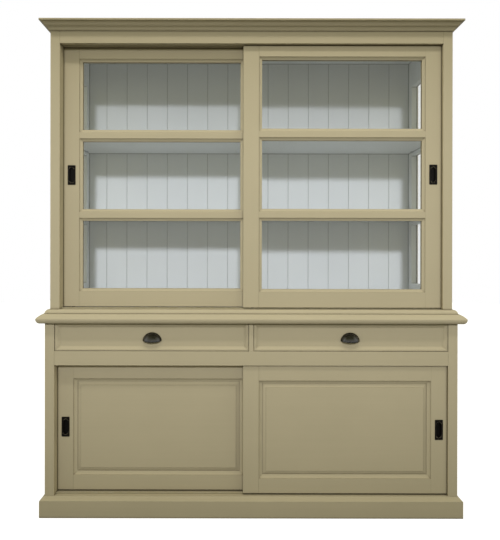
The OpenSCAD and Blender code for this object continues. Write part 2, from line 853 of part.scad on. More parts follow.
module drawer_bottom() {
    inner = drawer_side_out - drawer_side_t;
    color(wood_colour) translate([-inner - drawer_bottom_in, drawer_front_back, drawer_bottom_z])
        cube([2 * (inner + drawer_bottom_in),
              drawer_l - drawer_side_t + drawer_bottom_in, drawer_bottom_t]);
}

// A quarter of an egg shape: the outside or the inside of a cup pull
module cup_form(w, h, out) {
    rows = 8;
    columns = 16;
    rings = [for (i = [0:rows - 1]) let (b = 90 * i / rows)
        each [for (k = [0:columns]) let (a = 180 * k / columns)
            [w / 2 * cos(a) * cos(b), -out * sin(b), h * sin(a) * cos(b)]]];
    points = concat(rings, [[0, -out, 0]]);
    step = columns + 1;
    tip = rows * step;
    polyhedron(points, concat(
        [[for (k = [0:columns]) k]],
        [concat([for (i = [rows - 1:-1:0]) i * step], [for (i = [0:rows - 1]) i * step + columns], [tip])],
        [for (i = [0:rows - 2], k = [0:columns - 1])
            [i * step + k, (i + 1) * step + k, (i + 1) * step + k + 1, i * step + k + 1]],
        [for (k = [0:columns - 1]) [tip - step + k, tip, tip - step + k + 1]]));
}

module cup_pull() {
    field_y = drawer_face + drawer_border_d;
    mid_z = drawer_z + drawer_open_h / 2;
    color(dark_colour) translate([0, field_y, mid_z - cup_h / 2]) difference() {
        cup_form(cup_w, cup_h, cup_out);
        translate([0, over, -over])
            cup_form(cup_w - 2 * cup_wall, cup_h - cup_wall + over, cup_out - cup_wall + over);
    }
}

module in_bay(side) {
    translate([side * drawer_mid, 0, 0]) children();
}

// What is drawn

plinth_front();
plinth_returns();
base_left_frame();
base_right_frame();
base_side_panels();
base_bottom();
base_back();
base_partition();
base_shelves();
base_shelf_cleats();
drawer_rail();
drawer_divider();
drawer_deck();
drawer_runners();
base_door_guide();
base_door_tracks();
worktop();
upper_base_board();
upper_left_frame();
upper_right_frame();
side_glass();
upper_header();
upper_door_guide();
upper_door_tracks();
upper_top_board();
cornice_front();
cornice_returns();
upper_back_boards();
upper_shelf(shelf_z[1]);  // upper_shelf_high
upper_shelf(shelf_z[0]);  // upper_shelf_low
shelf_pins();
joining_screws();

at_door(upper_left_at) glazed_door_frame(stile / 2);  // upper_left_door_frame
at_door(upper_left_at) glazed_door_glass();  // upper_left_door_glass
at_door(upper_left_at) translate([stile / 2, upper_pull_y, 0]) flush_pull();  // upper_left_door_pull
wheel_at(upper_left_at, wheel_xs(upper_door_w)[0]);  // upper_left_door_wheel_a
wheel_at(upper_left_at, wheel_xs(upper_door_w)[1]);  // upper_left_door_wheel_b

at_door(upper_right_at) glazed_door_frame(upper_door_w - stile / 2);  // upper_right_door_frame
at_door(upper_right_at) glazed_door_glass();  // upper_right_door_glass
at_door(upper_right_at) translate([upper_door_w - stile / 2, upper_pull_y, 0]) flush_pull();  // upper_right_door_pull
wheel_at(upper_right_at, wheel_xs(upper_door_w)[0]);  // upper_right_door_wheel_a
wheel_at(upper_right_at, wheel_xs(upper_door_w)[1]);  // upper_right_door_wheel_b

at_door(base_left_at) panelled_door_frame(stile / 2);  // base_left_door_frame
at_door(base_left_at) panelled_door_panel();  // base_left_door_panel
at_door(base_left_at) translate([stile / 2, base_door_h / 2, 0]) flush_pull();  // base_left_door_pull
wheel_at(base_left_at, wheel_xs(base_door_w)[0]);  // base_left_door_wheel_a
wheel_at(base_left_at, wheel_xs(base_door_w)[1]);  // base_left_door_wheel_b

at_door(base_right_at) panelled_door_frame(base_door_w - stile / 2);  // base_right_door_frame
at_door(base_right_at) panelled_door_panel();  // base_right_door_panel
at_door(base_right_at) translate([base_door_w - stile / 2, base_door_h / 2, 0]) flush_pull();  // base_right_door_pull
wheel_at(base_right_at, wheel_xs(base_door_w)[0]);  // base_right_door_wheel_a
wheel_at(base_right_at, wheel_xs(base_door_w)[1]);  // base_right_door_wheel_b

in_bay(-1) drawer_front();  // left_drawer_front
in_bay(-1) drawer_box();  // left_drawer_box
in_bay(-1) drawer_bottom();  // left_drawer_bottom
in_bay(-1) cup_pull();  // left_drawer_pull
in_bay(1) drawer_front();  // right_drawer_front
in_bay(1) drawer_box();  // right_drawer_box
in_bay(1) drawer_bottom();  // right_drawer_bottom
in_bay(1) cup_pull();  // right_drawer_pull
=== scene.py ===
import json
import math

import bmesh
import bpy
from mathutils import Matrix, Vector

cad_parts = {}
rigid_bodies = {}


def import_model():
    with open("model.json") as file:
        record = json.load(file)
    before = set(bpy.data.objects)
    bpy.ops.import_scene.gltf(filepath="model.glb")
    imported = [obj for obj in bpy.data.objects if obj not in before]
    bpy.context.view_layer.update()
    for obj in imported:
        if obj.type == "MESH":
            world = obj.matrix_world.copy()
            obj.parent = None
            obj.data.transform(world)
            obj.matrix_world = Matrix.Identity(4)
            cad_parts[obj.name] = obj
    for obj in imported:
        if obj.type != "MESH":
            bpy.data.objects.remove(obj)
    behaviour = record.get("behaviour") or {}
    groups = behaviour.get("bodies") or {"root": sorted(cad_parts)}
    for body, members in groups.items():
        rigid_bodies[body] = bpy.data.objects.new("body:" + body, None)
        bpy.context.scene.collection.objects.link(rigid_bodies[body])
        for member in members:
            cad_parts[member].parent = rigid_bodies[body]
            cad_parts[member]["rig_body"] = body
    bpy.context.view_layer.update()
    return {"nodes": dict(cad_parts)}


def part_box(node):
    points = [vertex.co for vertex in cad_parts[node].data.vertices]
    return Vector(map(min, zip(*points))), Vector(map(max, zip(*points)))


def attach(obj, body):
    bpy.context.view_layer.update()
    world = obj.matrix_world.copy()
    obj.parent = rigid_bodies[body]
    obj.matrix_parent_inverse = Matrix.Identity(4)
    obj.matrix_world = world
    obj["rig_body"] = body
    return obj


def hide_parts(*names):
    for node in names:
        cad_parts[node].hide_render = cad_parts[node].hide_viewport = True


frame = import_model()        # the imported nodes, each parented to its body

mm = 0.001
nodes = frame["nodes"]
scene = bpy.context.scene
scene.view_settings.view_transform = "Standard"

# The camera stands all but level, a little left of the middle
photoCamera = {"place": (-0.0655, -2.2782, 1.2024), "turn": (89.929, -0.0974, 0.0127), "lens": 30.957,
               "filmHeight": 36, "shift": (0.02487, -0.04252), "farthest": 60}

lens = bpy.data.cameras.new("photoCamera")
lens.sensor_fit = "VERTICAL"
lens.sensor_height = photoCamera["filmHeight"]
lens.lens = photoCamera["lens"]
lens.shift_x, lens.shift_y = photoCamera["shift"]
lens.clip_end = photoCamera["farthest"]
camera = bpy.data.objects.new("photoCamera", lens)
camera.location = photoCamera["place"]
camera.rotation_euler = [math.radians(turn) for turn in photoCamera["turn"]]
scene.collection.objects.link(camera)
scene.camera = camera
print("camera placed")


# Shader helpers

def put(tree, kind, values=None, **settings):
    node = tree.nodes.new(kind)
    for key, value in settings.items():
        setattr(node, key, value)
    for key, value in (values or {}).items():
        node.inputs[key].default_value = value
    return node


def join(tree, *pairs):
    for source, target in pairs:
        tree.links.new(source, target)


# Sets an input to a plain value, or links another node's output to it
def feed(tree, socket, value):
    if isinstance(value, (int, float, tuple)):
        socket.default_value = value
    else:
        tree.links.new(value, socket)


def maths(tree, operation, a, b):
    node = put(tree, "ShaderNodeMath", operation=operation)
    feed(tree, node.inputs[0], a)
    feed(tree, node.inputs[1], b)
    return node.outputs[0]


def times(tree, a, b):
    return maths(tree, "MULTIPLY", a, b)


def plus(tree, a, b):
    return maths(tree, "ADD", a, b)


def minus(tree, a, b):
    return maths(tree, "SUBTRACT", a, b)


def spread(tree, source, fromLow, fromHigh, toLow, toHigh):
    node = put(tree, "ShaderNodeMapRange", {"From Min": fromLow, "From Max": fromHigh})
    tree.links.new(source, node.inputs["Value"])
    feed(tree, node.inputs["To Min"], toLow)
    feed(tree, node.inputs["To Max"], toHigh)
    return node.outputs["Result"]


# A tone that swings about one by a given depth, as a noise goes
def swing(tree, noise, depth):
    return spread(tree, noise, 0.3, 0.7, minus(tree, 1, depth), plus(tree, 1, depth))


def blendColours(tree, kind, factor, a, b):
    node = put(tree, "ShaderNodeMix", data_type="RGBA", blend_type=kind)
    for socket, value in ((node.inputs[0], factor), (node.inputs[6], a), (node.inputs[7], b)):
        feed(tree, socket, value)
    return node.outputs[2]


# How shut in a point is, from 0 in the open to 1 in a corner
def shutIn(tree, reach, samples, openFrom):
    corner = put(tree, "ShaderNodeAmbientOcclusion", samples=samples)
    feed(tree, corner.inputs["Distance"], reach)
    return minus(tree, 1, spread(tree, corner.outputs["AO"], 0.3, openFrom, 0, 1))


def newGroup(name, inputs, outputs):
    tree = bpy.data.node_groups.new(name, "ShaderNodeTree")
    for label, kind, start in inputs:
        socket = tree.interface.new_socket(label, in_out="INPUT", socket_type=kind)
        if start is not None:
            socket.default_value = start
    for label, kind in outputs:
        tree.interface.new_socket(label, in_out="OUTPUT", socket_type=kind)
    return tree, tree.nodes.new("NodeGroupInput").outputs, tree.nodes.new("NodeGroupOutput").inputs


def newMaterial(name):
    made = bpy.data.materials.new(name)
    made.use_nodes = True
    made.node_tree.nodes.clear()
    return made, made.node_tree


vectorSocket, colourSocket, numberSocket = "NodeSocketVector", "NodeSocketColor", "NodeSocketFloat"
finishOutputs = [("Colour", colourSocket), ("Roughness", numberSocket), ("Height", numberSocket)]


# Brushed paint: soft clouding, strokes along the grain, painted shade in the corners and rounded edges a
# little lighter as painted highlight and slight wear
def makeBrushedPaint():
    tree, given, out = newGroup("brushedPaint", [
        ("Place", vectorSocket, None), ("Grain", vectorSocket, None),
        ("Paint", colourSocket, (0.5, 0.5, 0.5, 1)), ("Clouding", numberSocket, 0.04),
        ("Stroke Depth", numberSocket, 0.03), ("Corner Shade", numberSocket, 0.25),
        ("Corner Reach", numberSocket, 0.01), ("Painted Shade Colour", colourSocket, (0.2, 0.15, 0.08, 1)),
        ("Sheen", numberSocket, 0.45)], finishOutputs)
    cloud = put(tree, "ShaderNodeTexNoise", {"Scale": 3.1, "Detail": 4, "Roughness": 0.6})
    stroke = put(tree, "ShaderNodeTexNoise", {"Scale": 1, "Detail": 4, "Roughness": 0.62})
    wide = put(tree, "ShaderNodeTexNoise", {"Scale": 0.16, "Detail": 2, "Roughness": 0.5})
    skin = put(tree, "ShaderNodeTexNoise", {"Scale": 620, "Detail": 2})
    join(tree, (given["Place"], cloud.inputs["Vector"]), (given["Grain"], stroke.inputs["Vector"]),
         (given["Grain"], wide.inputs["Vector"]), (given["Place"], skin.inputs["Vector"]))
    brush = plus(tree, times(tree, stroke.outputs["Fac"], 0.55), times(tree, wide.outputs["Fac"], 0.45))
    shut = shutIn(tree, given["Corner Reach"], samples=8, openFrom=0.95)
    edge = put(tree, "ShaderNodeAttribute", attribute_name="edge")
    tone = times(tree, swing(tree, cloud.outputs["Fac"], given["Clouding"]),
                 swing(tree, brush, given["Stroke Depth"]))
    # Rounded edges come out slightly lighter: a painted highlight with slight wear
    tone = times(tree, tone, plus(tree, 1, times(tree, edge.outputs["Fac"], 0.05)))
    colour = blendColours(tree, "MULTIPLY", 1.0, given["Paint"], tone)
    # Painted shade: corners, creases and gaps are darkened towards the shade colour, as far as Corner Reach
    colour = blendColours(tree, "MIX", times(tree, shut, given["Corner Shade"]), colour, given["Painted Shade Colour"])
    rough = plus(tree, given["Sheen"], times(tree, minus(tree, brush, 0.5), 0.22))
    rough = plus(tree, rough, times(tree, shut, 0.2))
    height = plus(tree, times(tree, brush, 0.8), times(tree, skin.outputs["Fac"], 0.2))
    join(tree, (colour, out["Colour"]), (rough, out["Roughness"]), (height, out["Height"]))
    return tree


# Planed softwood: long figure, fine pores and a little painted shade in the corners
def makePlanedTimber():
    tree, given, out = newGroup("planedTimber", [
        ("Place", vectorSocket, None), ("Grain", vectorSocket, None),
        ("Light", colourSocket, (0.6, 0.45, 0.28, 1)), ("Dark", colourSocket, (0.4, 0.26, 0.13, 1)),
        ("Corner Shade", numberSocket, 0.3)], finishOutputs)
    figure = put(tree, "ShaderNodeTexNoise",
                 {"Scale": 0.09, "Detail": 5, "Roughness": 0.55, "Distortion": 0.8})
    pores = put(tree, "ShaderNodeTexNoise", {"Scale": 2.4, "Detail": 3, "Roughness": 0.7})
    patch = put(tree, "ShaderNodeTexNoise", {"Scale": 2.2, "Detail": 3})
    join(tree, (given["Grain"], figure.inputs["Vector"]), (given["Grain"], pores.inputs["Vector"]),
         (given["Place"], patch.inputs["Vector"]))
    rings = maths(tree, "PINGPONG", times(tree, figure.outputs["Fac"], 7), 1)
    late = maths(tree, "POWER", rings, 2.2)
    mixed = plus(tree, times(tree, late, 0.5), times(tree, pores.outputs["Fac"], 0.35))
    colour = blendColours(tree, "MIX", mixed, given["Light"], given["Dark"])
    patchTone = spread(tree, patch.outputs["Fac"], 0.3, 0.7, 0.9, 1.08)
    colour = blendColours(tree, "MULTIPLY", 1.0, colour, patchTone)
    # Painted shade: corners are darkened towards the dark figure colour
    shut = shutIn(tree, reach=0.03, samples=6, openFrom=1)
    colour = blendColours(tree, "MIX", times(tree, shut, given["Corner Shade"]), colour, given["Dark"])
    rough = spread(tree, mixed, 0, 1, 0.5, 0.72)
    join(tree, (colour, out["Colour"]), (rough, out["Roughness"]), (pores.outputs["Fac"], out["Height"]))
    return tree


# Cast metal or plastic with a worn skin: mottled, paler on its edges
def makeWornSkin():
    tree, given, out = newGroup("wornSkin", [
        ("Place", vectorSocket, None), ("Base", colourSocket, (0.02, 0.02, 0.02, 1)),
        ("Worn", colourSocket, (0.1, 0.08, 0.06, 1)), ("Wear", numberSocket, 0.3),
        ("Sheen", numberSocket, 0.4), ("Grit", numberSocket, 900)], finishOutputs)
    broad = put(tree, "ShaderNodeTexNoise", {"Scale": 60, "Detail": 4, "Roughness": 0.6})
    fine = put(tree, "ShaderNodeTexNoise", {"Detail": 3, "Roughness": 0.6})
    join(tree, (given["Place"], broad.inputs["Vector"]), (given["Place"], fine.inputs["Vector"]),
         (given["Grit"], fine.inputs["Scale"]))
    edge = put(tree, "ShaderNodeAttribute", attribute_name="edge")
    patches = spread(tree, broad.outputs["Fac"], 0.48, 0.72, 0, 0.35)
    worn = maths(tree, "MAXIMUM", patches, times(tree, edge.outputs["Fac"], broad.outputs["Fac"]))
    colour = blendColours(tree, "MIX", times(tree, worn, given["Wear"]), given["Base"], given["Worn"])
    rough = plus(tree, given["Sheen"], spread(tree, broad.outputs["Fac"], 0.3, 0.7, -0.08, 0.08))
    join(tree, (colour, out["Colour"]), (rough, out["Roughness"]), (fine.outputs["Fac"], out["Height"]))
    return tree


brushedPaint, planedTimber, wornSkin = makeBrushedPaint(), makePlanedTimber(), makeWornSkin()
grainScales = {"X": (2.5, 240, 240), "Y": (240, 2.5, 240), "Z": (240, 240, 2.5)}


def linear(sRgb):
    return tuple(((c / 255 + 0.055) / 1.055) ** 2.4 if c > 10 else c / 255 / 12.92 for c in sRgb) + (1,)


# A material whose finish comes from one of the groups. bump is its strength and depth in metres
def surface(name, group, values, axis=None, bump=(0.3, 0.0004), specular=0.5, metallic=0.0):
    made, tree = newMaterial(name)
    place = put(tree, "ShaderNodeTexCoord").outputs["Object"]
    finish = put(tree, "ShaderNodeGroup", values, node_tree=group)
    tree.links.new(place, finish.inputs["Place"])
    if axis:
        along = put(tree, "ShaderNodeMapping", {"Scale": grainScales[axis]})
        join(tree, (place, along.inputs["Vector"]), (along.outputs["Vector"], finish.inputs["Grain"]))
    relief = put(tree, "ShaderNodeBump", {"Strength": bump[0], "Distance": bump[1]})
    shader = put(tree, "ShaderNodeBsdfPrincipled", {"Specular IOR Level": specular, "Metallic": metallic})
    end = put(tree, "ShaderNodeOutputMaterial")
    join(tree, (finish.outputs["Height"], relief.inputs["Height"]),
         (relief.outputs["Normal"], shader.inputs["Normal"]),
         (finish.outputs["Colour"], shader.inputs["Base Color"]),
         (finish.outputs["Roughness"], shader.inputs["Roughness"]),
         (shader.outputs["BSDF"], end.inputs["Surface"]))
    return made


# Corner Shade, Corner Reach and the corner colour below set the painted shade in corners and gaps
olivePaint = {"Paint": linear((176, 165, 137)), "Clouding": 0.02, "Stroke Depth": 0.018,
              "Corner Shade": 0.85, "Corner Reach": 0.011, "Painted Shade Colour": linear((62, 50, 26)),
              "Sheen": 0.46}
whitePaint = {"Paint": linear((223, 226, 228)), "Clouding": 0.015, "Stroke Depth": 0.012,
              "Corner Shade": 0.75, "Corner Reach": 0.007, "Painted Shade Colour": linear((74, 76, 70)),
              "Sheen": 0.5}
pine = {"Light": linear((214, 186, 142)), "Dark": linear((176, 138, 92)), "Corner Shade": 0.35}
railPaint = {"Base": linear((158, 147, 114)), "Worn": linear((188, 184, 172)), "Wear": 0.8,
             "Sheen": 0.36, "Grit": 500}
darkBronze = {"Base": linear((12, 10, 10)), "Worn": linear((50, 42, 36)), "Wear": 0.35,
              "Sheen": 0.36, "Grit": 1200}
darkNylon = {"Base": linear((24, 20, 16)), "Worn": linear((62, 54, 46)), "Wear": 0.4,
             "Sheen": 0.5, "Grit": 800}
brightSteel = {"Base": linear((176, 178, 182)), "Worn": linear((206, 208, 210)), "Wear": 0.6,
               "Sheen": 0.3, "Grit": 1500}

paint = [surface(f"olivePaint{a}", brushedPaint, olivePaint, a, specular=0.4) for a in "XYZ"]
white = [surface(f"whitePaint{a}", brushedPaint, whitePaint, a, (0.25, 0.0003)) for a in "XYZ"]
timber = [surface(f"planedPine{a}", planedTimber, pine, a, (0.25, 0.0003), 0.3) for a in "XYZ"]
trackPaint = surface("railPaint", wornSkin, railPaint, bump=(0.15, 0.0002))
bronze = surface("darkBronze", wornSkin, darkBronze, bump=(0.2, 0.0001), specular=0.16)
polishedBronze = surface("polishedBronze", wornSkin, darkBronze | {"Sheen": 0.26}, bump=(0.2, 0.0001),
                         specular=1.0)
nylon = surface("darkNylon", wornSkin, darkNylon, bump=(0.15, 0.0001), specular=0.4)
steel = surface("brightSteel", wornSkin, brightSteel, bump=(0.1, 0.0001), metallic=1.0)


# Clear glass that lets lamplight straight through
def makeGlass():
    made, tree = newMaterial("clearGlass")
    place = put(tree, "ShaderNodeTexCoord").outputs["Object"]
    ripple = put(tree, "ShaderNodeTexNoise", {"Scale": 9, "Detail": 2})
    smear = put(tree, "ShaderNodeTexNoise", {"Scale": 24, "Detail": 4})
    relief = put(tree, "ShaderNodeBump", {"Strength": 0.05, "Distance": 0.0006})
    shader = put(tree, "ShaderNodeBsdfPrincipled",
                 {"Base Color": linear((252, 253, 253)), "IOR": 1.45, "Transmission Weight": 1.0})
    clear = put(tree, "ShaderNodeBsdfTransparent", {"Color": (0.965, 0.97, 0.968, 1)})
    ray = put(tree, "ShaderNodeLightPath").outputs
    either = put(tree, "ShaderNodeMixShader")
    end = put(tree, "ShaderNodeOutputMaterial")
    join(tree, (place, ripple.inputs["Vector"]), (place, smear.inputs["Vector"]),
         (ripple.outputs["Fac"], relief.inputs["Height"]),
         (relief.outputs["Normal"], shader.inputs["Normal"]),
         (spread(tree, smear.outputs["Fac"], 0.45, 0.8, 0.0, 0.03), shader.inputs["Roughness"]),
         (maths(tree, "MAXIMUM", ray["Is Shadow Ray"], ray["Is Diffuse Ray"]), either.inputs[0]),
         (shader.outputs["BSDF"], either.inputs[1]), (clear.outputs["BSDF"], either.inputs[2]),
         (either.outputs["Shader"], end.inputs["Surface"]))
    return made


glass = makeGlass()
print("materials made")


# Mesh helpers. Points closer than near count as one, and the angles between faces are in degrees
near = 0.02 * mm
onCut = 0.005 * mm
edgeAngles = {"flat": 0.4, "smooth": 32, "crease": 16.5, "outer": 50, "inner": 35}
shortest = {"outer": 6 * mm, "inner": 1 * mm}        # lesser edges stay sharp
facing = 0.9        # how much of a normal lies along an axis, for a face to look that way
seam = {"fromEdge": 0.0709, "half": 0.7 * mm, "doorDepth": 0.7 * mm, "sideDepth": 0.5 * mm}


def everything(bm):
    return bm.verts[:] + bm.edges[:] + bm.faces[:]


# 0, 1 or 2 for the axis that a face is longest along, which is its grain
def slotByGrain(face):
    spans = [max(v.co[i] for v in face.verts) - min(v.co[i] for v in face.verts) for i in range(3)]
    return spans.index(max(spans))


def newVerts(result):
    return [part for part in result if isinstance(part, bmesh.types.BMVert)]


def convexOver(edge, degrees):
    return len(edge.link_faces) == 2 and edge.is_convex and edge.calc_face_angle(0) > math.radians(degrees)


# Rounds edges and marks the new faces: paint lightens them as painted highlight and slight wear, metal shows
# them as worn
def roundOff(bm, edges, width, steps):
    if edges:
        worn = bm.faces.layers.float.get("edge")
        done = bmesh.ops.bevel(bm, geom=edges, offset=width * mm, segments=steps, profile=0.5,
                               affect="EDGES", clamp_overlap=False, material=-1)
        for face in done["faces"]:
            face[worn] = 1


# Slices everything at one value of an axis
def sliced(bm, axis, value):
    spot, way = Vector(), Vector()
    spot[axis], way[axis] = value, 1
    return bmesh.ops.bisect_plane(bm, geom=everything(bm), dist=onCut, plane_co=spot,
                                  plane_no=way)["geom_cut"]


# Sorts verts, edges or faces by place, because bevels, cuts and spins leave them in another order each run
def sortByPlace(parts, placeOf):
    ranked = sorted(parts, key=lambda part: [round(value / onCut) for value in placeOf(part)])
    rank = {part: number for number, part in enumerate(ranked)}
    parts.sort(key=rank.get)


# Turns a finished bmesh into a piece that rides on a body. crease sharpens lesser bends off the worn edges
def finishPiece(bm, name, body, materials, replaced, smooth=edgeAngles["smooth"], crease=None):
    sortByPlace(bm.verts, lambda vert: vert.co)
    sortByPlace(bm.edges, lambda edge: edge.verts[0].co + edge.verts[1].co)
    sortByPlace(bm.faces, lambda face: face.calc_center_median())
    worn = bm.faces.layers.float.get("edge")
    for face in bm.faces:
        face.smooth = True
    for edge in bm.edges:
        bend = math.degrees(edge.calc_face_angle(0))
        plain = crease and bend > crease and not any(face[worn] for face in edge.link_faces)
        edge.smooth = not (bend > smooth or plain)
    mesh = bpy.data.meshes.new(name)
    bm.to_mesh(mesh)
    bm.free()
    piece = bpy.data.objects.new(name, mesh)
    scene.collection.objects.link(piece)
    for material in materials:
        mesh.materials.append(material)
    weighted = piece.modifiers.new("weightedNormals", "WEIGHTED_NORMAL")
    weighted.keep_sharp = True
    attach(piece, body)
    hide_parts(*replaced)


# A copy of a CAD node with its outer and inner edges rounded by arris and ease, in mm.
# borders and seams lie at a value of one axis, on the face at a value of another:
# a border parts two finishes, and a seam is the fine groove where two boards meet.
# materials are one, or three by grain, and three more for the faces that secondWhere picks
def easedCopy(nodeName, materials, arris=1.2, ease=0.35, borders=(), seams=(), secondWhere=None):
    bm = bmesh.new()
    bm.from_mesh(nodes[nodeName].data)
    bmesh.ops.remove_doubles(bm, verts=bm.verts, dist=near)
    low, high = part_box(nodeName)
    for axis, value, faceAxis, faceValue in borders:
        for part in sliced(bm, axis, value):
            if isinstance(part, bmesh.types.BMEdge):
                part.seam = all(abs(v.co[faceAxis] - faceValue) < near for v in part.verts)
    bmesh.ops.dissolve_limit(bm, angle_limit=math.radians(edgeAngles["flat"]), verts=bm.verts,
                             edges=bm.edges, delimit={"SEAM"})
    bm.faces.layers.float.new("edge")

    def onBox(edge):
        a, b = (v.co for v in edge.verts)
        return sum(abs(a[i] - b[i]) < near and min(abs(a[i] - low[i]), abs(a[i] - high[i])) < near
                   for i in range(3)) >= 2

    outer = [e for e in bm.edges if convexOver(e, edgeAngles["outer"]) and onBox(e)
             and e.calc_length() > shortest["outer"]]
    roundOff(bm, outer, arris, steps=3)
    inner = [e for e in bm.edges if convexOver(e, edgeAngles["inner"])
             and e.calc_length() > shortest["inner"]]
    roundOff(bm, inner, ease, steps=2)
    for axis, value, faceAxis, faceValue, depth in seams:
        sliced(bm, axis, value - seam["half"])
        sliced(bm, axis, value + seam["half"])
        for vert in newVerts(sliced(bm, axis, value)):
            if abs(vert.co[faceAxis] - faceValue) < near:
                vert.co[faceAxis] += depth
    for face in bm.faces:
        face.material_index = slotByGrain(face) if len(materials) > 2 else 0
        if secondWhere and secondWhere(face.calc_center_median(), face.normal):
            face.material_index += 3
    body = nodes[nodeName]["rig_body"]
    finishPiece(bm, nodeName + "_eased", body, materials, [nodeName], crease=edgeAngles["crease"])


# A solid of revolution from [radius, along] points in mm, about an axis through place
def turned(profile, place, axis, steps):
    bm = bmesh.new()
    ring = [bm.verts.new((r * mm, 0, z * mm)) for r, z in profile]
    edges = [bm.edges.new(pair) for pair in zip(ring, ring[1:])]
    bmesh.ops.spin(bm, geom=ring + edges, cent=(0, 0, 0), axis=(0, 0, 1), angle=2 * math.pi,
                   steps=steps, use_merge=True)
    bmesh.ops.remove_doubles(bm, verts=bm.verts, dist=onCut)
    bmesh.ops.recalc_face_normals(bm, faces=bm.faces)
    turn = Vector((0, 0, 1)).rotation_difference(Vector(axis)).to_matrix().to_4x4()
    bmesh.ops.transform(bm, matrix=Matrix.Translation(place) @ turn, verts=bm.verts)
    return bm


# Puts several bmeshes into one
def gathered(parts):
    whole = bmesh.new()
    for part in parts:
        mesh = bpy.data.meshes.new("part")
        part.to_mesh(mesh)
        part.free()
        whole.from_mesh(mesh)
        bpy.data.meshes.remove(mesh)
    return whole


# A closed ring of edges with round corners, facing front at depth y
def roundedRing(bm, wide, high, radius, y, count=48):
    made = bmesh.ops.create_circle(bm, cap_ends=False, radius=radius * mm, segments=count)["verts"]
    bmesh.ops.rotate(bm, verts=made, cent=(0, 0, 0), matrix=Matrix.Rotation(math.pi / count, 3, "Z"))
    for v in made:
        x, z = v.co.x, v.co.y
        x += math.copysign((wide / 2 - radius) * mm, x)
        z += math.copysign((high / 2 - radius) * mm, z)
        v.co = (x, y * mm, z)
    return [e for e in bm.edges if e.verts[0] in made and e.verts[1] in made]


# Sideboard carcass: olive outside, bare pine inside
sideboard = {"side": 0.92, "face": -0.21, "rearSeam": 0.2019, "doorBack": -0.14, "floorTop": 0.091}
paintBoth = paint + white
paintAndPine = paint + timber


# The seams beside the posts of a cabinet's side, which is -1 or 1
def postSeams(cabinet, side):
    return [(1, y, 0, side * cabinet["side"], -side * seam["sideDepth"])
            for y in (cabinet["face"] + seam["fromEdge"], cabinet["rearSeam"])]


for name in ("plinth_front", "plinth_returns"):
    easedCopy(name, paint, arris=1.0)
for name, side in (("base_left_frame", -1), ("base_right_frame", 1)):
    easedCopy(name, paint, seams=postSeams(sideboard, side))
for name in ("base_side_panels", "drawer_rail", "worktop"):
    easedCopy(name, paint)
easedCopy("drawer_divider", paint, arris=0.5)
for name in ("base_back", "base_partition", "base_shelves", "base_shelf_cleats", "drawer_deck",
             "drawer_runners", "base_door_guide"):
    easedCopy(name, timber, arris=0.8)
easedCopy("base_bottom", paintAndPine, arris=0.8,
          borders=[(1, sideboard["doorBack"], 2, sideboard["floorTop"])],
          secondWhere=lambda centre, normal: centre.y > sideboard["doorBack"])
for name in ("base_door_tracks", "upper_door_tracks"):
    easedCopy(name, [trackPaint], arris=0.9)
print("sideboard dressed")

# Upper cabinet: olive outside, white inside from the doors' back
upperCabinet = {"side": 0.903, "face": -0.193, "rearSeam": 0.1999, "doorBack": -0.113, "sideIn": 0.861,
                "floorTop": 0.919, "glassIn": 0.0125}


def insideUpper(centre, normal):
    inward = abs(centre.x) < upperCabinet["side"] - upperCabinet["glassIn"]
    return inward and centre.y > upperCabinet["doorBack"] and not normal.y > facing


def onUpperFloor(centre, normal):
    return normal.z > facing and centre.y > upperCabinet["doorBack"]


for name, side in (("upper_left_frame", -1), ("upper_right_frame", 1)):
    easedCopy(name, paintBoth, seams=postSeams(upperCabinet, side), secondWhere=insideUpper,
              borders=[(1, upperCabinet["doorBack"], 0, side * upperCabinet["sideIn"])])
easedCopy("upper_base_board", paintBoth, secondWhere=onUpperFloor,
          borders=[(1, upperCabinet["doorBack"], 2, upperCabinet["floorTop"])])
for name in ("upper_header", "upper_door_guide", "cornice_front", "cornice_returns"):
    easedCopy(name, paint)
for name, arris in (("upper_top_board", 1.0), ("upper_back_boards", 0.4), ("upper_shelf_high", 1.0),
                    ("upper_shelf_low", 1.0)):
    easedCopy(name, white, arris=arris, ease=0.3)
print("upper cabinet dressed")

# Doors, each by its left edge, face and width
doors = {"upper_left": (-0.860, -0.145, 0.896), "upper_right": (-0.036, -0.175, 0.896),
         "base_left": (-0.877, -0.170, 0.913), "base_right": (-0.036, -0.200, 0.913)}
for name, (left, face, wide) in doors.items():
    stileSeams = [(0, x, 1, face, seam["doorDepth"])
                  for x in (left + seam["fromEdge"], left + wide - seam["fromEdge"])]
    easedCopy(name + "_door_frame", paint, seams=stileSeams)
    if name.startswith("base"):
        easedCopy(name + "_door_panel", paint, ease=0.5)
for name in ("upper_left_door_glass", "upper_right_door_glass", "side_glass"):
    nodes[name].data.materials.clear()
    nodes[name].data.materials.append(glass)
print("doors dressed")

# Drawers
for side in ("left", "right"):
    easedCopy(side + "_drawer_front", paint, arris=0.7)
    easedCopy(side + "_drawer_box", timber, arris=1.0)
    easedCopy(side + "_drawer_bottom", timber, arris=0.6)
print("drawers dressed")

# Flush pulls: rings of [wide, high, corner radius, depth], from the back of the well to its floor
flushPull = {"rings": [(20.0, 68.0, 10.0, 12.4), (22.9, 70.9, 11.4, 10.5), (22.9, 70.9, 11.4, 0.1),
                       (35.8, 89.8, 3.0, 0.1), (36.0, 90.0, 3.1, -0.9), (35.2, 89.2, 2.8, -1.4),
                       (34.2, 88.2, 2.4, -1.5), (29.6, 78.0, 13.5, -1.5), (28.4, 76.6, 13.6, -1.25),
                       (23.6, 71.8, 11.7, 0.1), (21.2, 69.4, 10.5, 1.2), (20.2, 68.2, 10.0, 3.0),
                       (20.0, 68.0, 9.9, 8.6), (18.6, 66.6, 9.2, 10.4), (15.0, 63.0, 7.4, 11.0)],
             "rim": (-1.45, -0.3), "fromEdge": 0.036, "up": {"upper": 1.52925, "base": 0.38275}}


